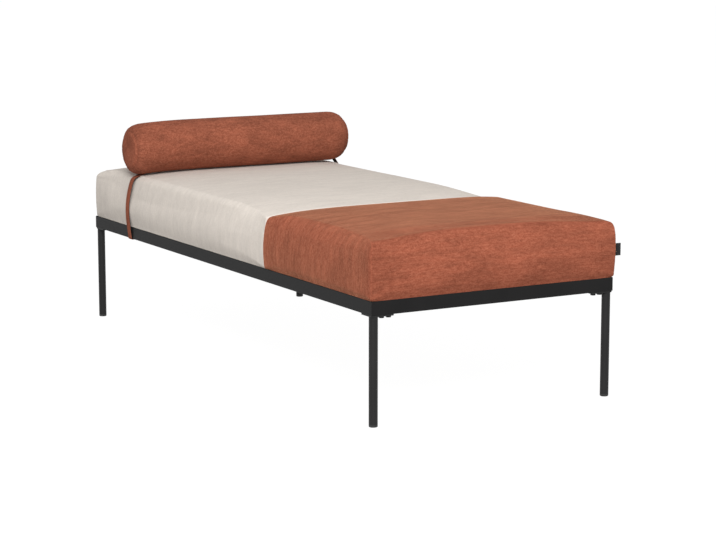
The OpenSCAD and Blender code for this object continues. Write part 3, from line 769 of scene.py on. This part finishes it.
def bolster_outline(row):
    """Radius and place along the axis at a row, counted from the near pole to the far one."""
    middle = ALL_ROWS / 2
    step = np.abs(row - middle)
    straight = np.clip(step / HALF_ROWS, 0, 1)
    taper = np.clip((step - HALF_ROWS) / TAPER_ROWS, 0, 1)
    angle = math.pi / 2 * np.clip((step - HALF_ROWS - TAPER_ROWS) / DOME_ROWS, 0, 1)
    radius = np.empty_like(row)
    y = np.empty_like(row)
    for end, side in ((NEAR_END, -1), (FAR_END, 1)):
        mine = np.sign(row - middle) != -side
        power = 2 / end["fullness"]
        dome_r = (BOLSTER_R - end["taper"]) * np.clip(np.cos(angle), 0, 1) ** power
        turn = end["shoulder"] * taper
        over = (1 - np.cos(turn)) / (1 - math.cos(end["shoulder"]))
        r = np.where(angle > 0, dome_r, BOLSTER_R - end["taper"] * over)
        along = (end["from"] * straight
                 + (end["seam"] - end["from"]) * np.sin(turn) / math.sin(end["shoulder"])
                 + (end["tip"] - end["seam"]) * np.sin(angle) ** power)
        radius[mine] = r[mine]
        y[mine] = side * along[mine]
    return radius, y


def by_end(y, name):
    """A measure of the end that each point is nearer to."""
    return np.where(y < 0, NEAR_END[name], FAR_END[name])


def bolster_droop(y):
    share = np.clip((np.abs(y) - DROOP_FROM) / (by_end(y, "tip") - DROOP_FROM), 0, None)
    return by_end(y, "droop") * share ** 2


def gathers(turn, seed):
    """The small pleats where a sleeve is gathered into its end seam, from -1 to 1."""
    chance = np.random.default_rng(seed)
    total = np.zeros_like(turn)
    for count in (23, 31, 37, 44, 52, 61):
        total += chance.uniform(0.5, 1.0) * np.sin(count * turn + chance.uniform(0, 6.28))
    return total / 3.0


def shape_bolster(turn, radius, y):
    """Radius after the seam's groove and the gathers on both sides of it."""
    seam = by_end(y, "seam")
    from_seam = np.abs(np.abs(y) - seam)
    on_sleeve = np.abs(y) < seam
    reach = np.where(on_sleeve, SLEEVE_PLEATS[0], END_PLEATS[0])
    depth = np.where(on_sleeve, SLEEVE_PLEATS[1], END_PLEATS[1])
    fade = np.exp(-(from_seam / reach) ** 2) * np.clip(from_seam / PLEATS_START, 0, 1)
    pleat = gathers(turn + np.where(y > 0, 1.3, 0), 5) * depth
    groove = GROOVE_DEPTH * np.exp(-(from_seam / GROOVE_WIDTH) ** 2)
    step = END_STEP * np.exp(-(from_seam / END_STEP_WIDTH) ** 2) * ~on_sleeve
    return radius + (pleat * fade - groove - step) * np.clip(radius / BOLSTER_R, 0, 1)


def make_bolster_form():
    """The whole bolster as one closed skin, before it is cut at its end seams."""
    bpy.ops.object.select_all(action="DESELECT")
    bpy.ops.mesh.primitive_uv_sphere_add(segments=ROUND_CELLS, ring_count=ALL_ROWS, radius=1)
    form = bpy.context.object
    form.name = "bolster_form"
    unit = points_of(form)
    row = np.rint(np.arccos(np.clip(-unit[:, 2], -1, 1)) / math.pi * ALL_ROWS)
    turn = np.arctan2(unit[:, 1], unit[:, 0])
    radius, y = bolster_outline(row)
    radius = shape_bolster(turn, radius, y)
    x = BOLSTER_X + radius * np.cos(turn)
    z = BOLSTER_Z + radius * np.sin(turn) - bolster_droop(y)
    set_points(form, np.stack([x, y, z], axis=1))
    only(form)
    bpy.ops.object.mode_set(mode="EDIT")
    bpy.ops.mesh.select_all(action="SELECT")
    bpy.ops.mesh.normals_make_consistent(inside=False)
    bpy.ops.object.mode_set(mode="OBJECT")
    return form, row, turn


def unfold_bolster(form, turn, row):
    """Lays the sleeve out flat; each end is laid out as a disc."""
    layer = form.data.uv_layers.new(name="cloth")
    points = points_of(form)
    uv = np.empty((len(form.data.loops), 2))
    for face in form.data.polygons:
        corners = list(face.vertices)
        middle = row[corners].mean()
        if middle < DOME_ROWS or middle > ALL_ROWS - DOME_ROWS:
            for loop, corner in zip(face.loop_indices, corners):
                x, _, z = points[corner]
                uv[loop] = (x - BOLSTER_X, z - BOLSTER_Z)
            continue
        angles = turn[corners]
        if angles.max() - angles.min() > math.pi:
            angles = np.where(angles < 0, angles + 2 * math.pi, angles)
        for loop, corner, angle in zip(face.loop_indices, corners, angles):
            uv[loop] = (angle * BOLSTER_R, points[corner][1])
    layer.data.foreach_set("uv", uv.astype(np.float32).ravel())


def cut_from(form, row, name, first, last, finish, slot, *stands_for):
    """One sewn piece of the bolster's skin, between two rows of its points."""
    piece = form.copy()
    piece.data = form.data.copy()
    piece.name = name
    bpy.context.scene.collection.objects.link(piece)
    only(piece)
    bpy.ops.object.mode_set(mode="EDIT")
    bpy.ops.mesh.select_mode(type="FACE")
    bpy.ops.mesh.select_all(action="DESELECT")
    mesh = bmesh.from_edit_mesh(piece.data)
    for face in mesh.faces:
        middle = np.mean([row[corner.index] for corner in face.verts])
        face.select = not first < middle < last
    bmesh.update_edit_mesh(piece.data)
    bpy.ops.mesh.delete(type="FACE")
    bpy.ops.object.mode_set(mode="OBJECT")
    apply_modifier(piece, "SOLIDIFY", thickness=CLOTH_T, offset=-1)
    smooth(piece, 60)
    piece.data.materials.append(finish)
    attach(piece, "bolster")
    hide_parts(*stands_for)


def make_bolster(finish, slot):
    """The whole skin is shaped and blown up in one, then cut into its three sewn pieces."""
    form, row, turn = make_bolster_form()
    envelope = points_of(form)
    outward = normals_of(form)
    swell = waves(envelope, [0.30, 0.12], 21)
    slack = BOLSTER_SLACK * (1 + swell) * (1 - smoothstep(-0.5 - 2 * np.sin(turn)))
    points = envelope - outward * slack[:, None]
    near_seam = DOME_ROWS
    far_seam = ALL_ROWS - DOME_ROWS
    set_points(form, envelope - outward * BOLSTER_INSET)
    hold = np.isin(row, (near_seam, far_seam))
    blown = settle_cloth(form, hold, envelope, outward, BOLSTER_CAP)
    points = blown - outward * (SLACK_LEFT * slack)[:, None]
    set_points(form, points)
    unfold_bolster(form, turn, row)
    cut_from(form, row, "bolster_sleeve_cloth", near_seam, far_seam, finish, slot,
             "bolster_sleeve", "bolster_foam")
    cut_from(form, row, "bolster_near_end_cloth", -1, near_seam, finish, slot, "bolster_near_end")
    cut_from(form, row, "bolster_far_end_cloth", far_seam, ALL_ROWS + 1, finish, slot,
             "bolster_far_end")
    bpy.data.objects.remove(form)


# Strap: it leaves the bolster's underside, lies on the cushion's side and turns under the rail

RAIL_BOTTOM = 0.310
RAIL_R = 0.002
STRAP_W = 0.025
NEAR_STRAP_AT = 0.352
FAR_STRAP_AT = 0.372
STRAP_T = 0.0015
BACKING_T = 0.001
SKIN_GAP = 0.0001
STRAP_CELLS = 6
STRAP_REACH_IN = 0.024
ELASTIC_REACH_IN = 0.040
BAND_HALF = 0.3599


def tangent_angle(start, start_r, end, end_r, turn):
    """Angle at which a line that touches two circles has its normal."""
    away = np.array(end) - np.array(start)
    return math.atan2(away[1], away[0]) + turn * math.acos((start_r - end_r) / np.linalg.norm(away))


def arc_route(center, r, start, end, steps):
    """Points and normals along an arc."""
    return [(center[0] + r * math.cos(a), center[1] + r * math.sin(a), math.cos(a), math.sin(a))
            for a in np.linspace(start, end, steps + 1)]


def strap_route(side, reach_in):
    """Distance out from the frame's face, height, and outward and upward part of the normal."""
    at = NEAR_STRAP_AT if side < 0 else FAR_STRAP_AT
    end = NEAR_END if side < 0 else FAR_END
    share = max(0, at - end["from"]) / (end["seam"] - end["from"]) * math.sin(end["shoulder"])
    over = (1 - math.cos(math.asin(share))) / (1 - math.cos(end["shoulder"]))
    radius = BOLSTER_R - end["taper"] * over
    droop = float(bolster_droop(np.array(side * at)))
    start = (at - FRAME_HALF, BOLSTER_Z - droop - radius - SLIDE_GAP)
    rail_edge = (-RAIL_R, RAIL_BOTTOM + RAIL_R)
    top_r = PLAIN_SIDE["top_r"] + SLIDE_GAP
    side_r = PLAIN_SIDE["r"] + SLIDE_GAP
    leave = tangent_angle(PLAIN_SIDE["top_center"], top_r, start, 0, -1)
    reach = tangent_angle(PLAIN_SIDE["center"], side_r, rail_edge, RAIL_R + SLIDE_GAP, 1)
    route = [(*start, math.cos(leave), math.sin(leave))]
    route += arc_route(PLAIN_SIDE["top_center"], top_r, leave, PLAIN_SIDE["top_angle"], 8)
    route += arc_route(PLAIN_SIDE["center"], side_r, PLAIN_SIDE["top_angle"], reach, 28)[1:]
    route += arc_route(rail_edge, RAIL_R + SLIDE_GAP, reach, -math.pi / 2, 8)
    route.append((-reach_in, RAIL_BOTTOM - SLIDE_GAP, 0.0, -1.0))
    return route


def make_strip(name, lines, thickness, body, stands_for, finish,
               across=(1, 0, 0), width=STRAP_W):
    """A flat strip: one edge is placed and extruded along a line, then given its thickness."""
    half = Vector(across) * width / 2
    bpy.ops.object.select_all(action="DESELECT")
    bpy.ops.mesh.primitive_plane_add(size=1)
    strip = bpy.context.object
    strip.name = name
    bpy.ops.object.mode_set(mode="EDIT")
    bpy.ops.mesh.select_mode(type="VERT")
    bpy.ops.mesh.select_all(action="SELECT")
    bpy.ops.mesh.merge(type="CENTER")
    bpy.ops.mesh.select_all(action="SELECT")
    bpy.ops.transform.translate(value=Vector(lines[0]) - half)
    for _ in range(STRAP_CELLS):
        bpy.ops.mesh.extrude_region_move(TRANSFORM_OT_translate={"value": half * 2 / STRAP_CELLS})
    bpy.ops.mesh.select_all(action="SELECT")
    for here, there in zip(lines[:-1], lines[1:]):
        step = Vector(there) - Vector(here)
        bpy.ops.mesh.extrude_region_move(TRANSFORM_OT_translate={"value": step})
    bpy.ops.object.mode_set(mode="OBJECT")
    lay_along(strip, lines, across)
    apply_modifier(strip, "SOLIDIFY", thickness=thickness, offset=0)
    apply_modifier(strip, "BEVEL", width=0.0003, segments=2, limit_method="ANGLE")
    smooth(strip, 50)
    strip.data.materials.append(finish)
    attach(strip, body)
    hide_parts(*stands_for)


def lay_along(strip, lines, across):
    """Unfolds a strip: its length runs along one axis of the cloth and its width on the other."""
    route = np.array([list(p) for p in lines])
    lengths = np.concatenate([[0], np.cumsum(np.linalg.norm(np.diff(route, axis=0), axis=1))])
    layer = strip.data.uv_layers.new(name="cloth")
    points = points_of(strip)
    side = np.array(across)
    uv = np.empty((len(strip.data.loops), 2))
    for loop in strip.data.loops:
        point = points[loop.vertex_index]
        offset = (point - route[0]) @ side
        flat = point - side * offset
        nearest = np.argmin(np.linalg.norm(route - flat, axis=1))
        uv[loop.index] = (offset, lengths[nearest])
    layer.data.foreach_set("uv", uv.astype(np.float32).ravel())


def on_side(route, side, depth):
    """A route's points at a depth over it, at one side of the seat."""
    line = [(BOLSTER_X, side * (FRAME_HALF + out + depth * nx), z + depth * nz)
            for out, z, nx, nz in route]
    return line[:1] + [(x, y, z + float(far_lift(y, z))) for x, y, z in line[1:]]


def make_strap(side, name, cloth, band):
    """A strip of the bolster's cloth and the elastic on its inner side."""
    face = on_side(strap_route(side, STRAP_REACH_IN), side, BACKING_T + STRAP_T / 2)
    back = on_side(strap_route(side, ELASTIC_REACH_IN), side, BACKING_T / 2)
    make_strip(f"{name}_strap_face", face, STRAP_T - SKIN_GAP, "bolster",
               (f"{name}_strap",), cloth)
    make_strip(f"{name}_strap_elastic", back, BACKING_T - SKIN_GAP, "bolster",
               (f"{name}_strap_backing",), band)


def make_band(finish):
    """The elastic under the seat, from one side's elastic to the other's."""
    height = RAIL_BOTTOM - SLIDE_GAP - BACKING_T / 2
    line = [(BOLSTER_X, y, height) for y in np.linspace(-BAND_HALF, BAND_HALF, 25)]
    make_strip("under_seat_band", line, BACKING_T - SKIN_GAP, "bolster",
               ("under_band",), finish)


# Tab: a folded loop of webbing in the far side near the foot end

TAB_X = FOOT_X - 0.012
TAB_Z = RAIL_TOP + PAD_HEIGHT / 2 - 0.005
TAB_START = FRAME_HALF + 0.005
TAB_END = FRAME_HALF + 0.0335
TAB_WIDTH = 0.036
TAB_T = 0.0008
TAB_FOLD_R = 0.0005


def make_tab(finish):
    """The webbing goes out of the cover, turns back and goes in again, and is left bare."""
    fold = [(TAB_X - TAB_FOLD_R, y, TAB_Z) for y in np.linspace(TAB_START, TAB_END, 9)]
    fold += [(TAB_X - TAB_FOLD_R * math.cos(a), TAB_END + TAB_FOLD_R * math.sin(a), TAB_Z)
             for a in np.linspace(0.3, math.pi - 0.3, 6)]
    fold += [(TAB_X + TAB_FOLD_R, y, TAB_Z) for y in np.linspace(TAB_END, TAB_START, 9)]
    make_strip("folded_side_tab", fold, TAB_T, "seat", ("side_tab",), finish,
               (0, 0, 1), TAB_WIDTH)


# Dressing of the solids

def dress(finish, *names):
    """Gives solids that keep their shape a better finish."""
    for name in names:
        for slot in nodes[name].material_slots:
            slot.material = finish


make_camera()
make_floor()
make_world()
bpy.context.scene.view_settings.view_transform = "Standard"
add_softbox("key light", (4.5, -2.8, 4.1), aim=(0, 0, 0.4), size=3.0, power=400)

frame_coat = powder_coat("black powder coat", 0.12)
leg_coat = powder_coat("black powder coat of the legs", 0.27)
bolt_finish = plain_metal("black oxide steel", (0.018, 0.018, 0.019), (0.03, 0.03, 0.031),
                          roughness=0.42, metallic=0.6)
zinc = plain_metal("zinc plated steel", (0.5, 0.51, 0.53), (0.68, 0.69, 0.7),
                   roughness=0.32, metallic=1.0)
plastic = moulded_plastic()
board_wood = plywood()
elastic = elastic_webbing()
beige = woven_cloth(
    "beige chenille", ((0.70, 0.632, 0.567), (0.73, 0.665, 0.60), (0.78, 0.715, 0.65)),
    swing=0.030, sheen_tint=(1.0, 0.95, 0.9), sheen=0.18, depth=0.0004)
# The terracotta cloth carries painted light and shade along the foot end's upper edge
terracotta = woven_cloth(
    "terracotta chenille", ((0.226, 0.059, 0.032), (0.306, 0.088, 0.049), (0.380, 0.122, 0.070)),
    swing=0.12, sheen_tint=(1.0, 0.53, 0.30), sheen=1.0, depth=0.0006, painted_edge_at=FOOT_X)
bolster_cloth = woven_cloth(
    "bolster chenille", ((0.212, 0.060, 0.033), (0.296, 0.090, 0.051), (0.388, 0.130, 0.076)),
    swing=0.13, sheen_tint=(1.0, 0.60, 0.38), sheen=0.04, depth=0.0005, grain=(0.9, 1.7))

dress(frame_coat, *[n for n in nodes if n.endswith(("_rail", "_bar"))])
dress(leg_coat, *[n for n in nodes if n.endswith(("_leg", "_plate"))])
dress(plastic, *[n for n in nodes if n.endswith("_glide")])
dress(bolt_finish, "leg_bolts")
dress(zinc, "threaded_inserts", "board_screws")
dress(board_wood, "head_base_board", "foot_base_board")

head_pad = {
    "xa": HEAD_X, "xb": SEAM_X - SEAM_GAP, "joint": "b", "swell_a": 0.5, "swell_b": 0.0,
    "corner": side_form(0.0033, 0.072, 0.9, 0.024, 0.005), "end_dip": 0.0125, "end_sink": 0.0145,
    "end_soft": 0.014, "fall_a": 0.150, "fall_b": 0.320, "seed": 3}
foot_pad = {
    "xa": SEAM_X + SEAM_GAP, "xb": FOOT_X, "joint": "a", "swell_a": 0.0, "swell_b": 1.2,
    "corner": side_form(0.0084, 0.090, 1.2, 0.006, 0.006), "end_dip": 0.0030, "end_sink": 0.0215,
    "end_soft": 0.021, "fall_a": 0.090, "fall_b": 0.110, "seed": 8}
make_pad("head_seat_cover", head_pad, (136, 88, 32), beige, "beige_fabric",
         "head_cover", "head_wadding", "head_foam")
make_pad("foot_seat_cover", foot_pad, (70, 88, 32), terracotta, "terracotta_fabric",
         "foot_cover", "foot_wadding", "foot_foam")

make_bolster(bolster_cloth, "terracotta_fabric")
make_strap(-1, "near", bolster_cloth, elastic)
make_strap(1, "far", bolster_cloth, elastic)
make_band(elastic)
make_tab(elastic)
